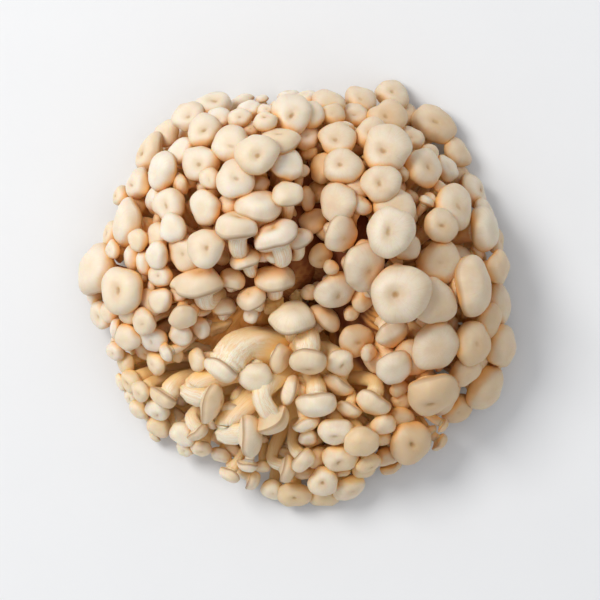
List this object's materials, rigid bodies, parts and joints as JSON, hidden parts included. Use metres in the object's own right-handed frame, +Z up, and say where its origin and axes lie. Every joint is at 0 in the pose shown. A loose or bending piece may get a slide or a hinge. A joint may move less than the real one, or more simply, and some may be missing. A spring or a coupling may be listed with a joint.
{
  "type": "mushroom cluster",
  "caption": "Cluster of white beech mushrooms: pale caps on fused stems, spreading in three bunches from a flat cut foot.",
  "frame": {"origin": "middle of the cut foot, on the table", "axes": "+Z up, out of the cluster's top; +Y towards the cluster's back, the top of the picture; +X to the picture's right"},
  "size_m": [0.221, 0.2163, 0.0882],
  "materials": {
    "pale_skin": "smooth matt skin, pale cream",
    "cream_skin": "smooth matt skin, cream",
    "warm_skin": "smooth matt skin and fibrous stems, warm cream"
  },
  "bodies": {
    "root": {"left_bunch": "pale_skin", "right_bunch": "cream_skin", "front_bunch": "warm_skin"}
  },
  "joints": []
}
